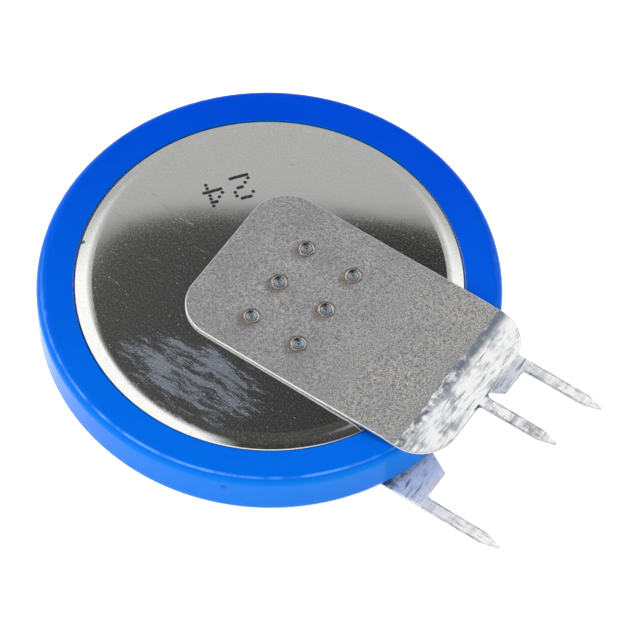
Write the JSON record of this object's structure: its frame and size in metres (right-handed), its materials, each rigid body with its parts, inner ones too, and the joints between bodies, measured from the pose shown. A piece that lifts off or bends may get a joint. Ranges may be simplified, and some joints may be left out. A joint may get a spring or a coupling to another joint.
{
  "type": "lithium coin cell",
  "caption": "Flat round lithium coin cell in an insulating sleeve, with a welded solder tab on each face and upright-mounting pins that all point the same way.",
  "frame": {"origin": "on the cell's axis, at the underside of the positive tab's weld pad", "axes": "+Z along the cell's axis from the positive can to the negative cap, +X along the tabs towards the points of the pins"},
  "size_m": [0.0304, 0.0248, 0.0037],
  "materials": {
    "can_steel": "polished",
    "gasket_plastic": "satin",
    "cap_steel": "polished",
    "collector_steel": "matte",
    "cathode_mix": "matte",
    "separator_film": "matte",
    "lithium_metal": "satin",
    "sleeve_film": "gloss",
    "tab_steel": "matte"
  },
  "bodies": {
    "root": {"positive_can": "can_steel", "gasket": "gasket_plastic", "negative_cap": "cap_steel", "cathode_collector": "collector_steel", "cathode_pellet": "cathode_mix", "separator": "separator_film", "lithium_disc": "lithium_metal", "insulating_sleeve": "sleeve_film", "negative_tab": "tab_steel", "positive_tab": "tab_steel"}
  },
  "joints": []
}
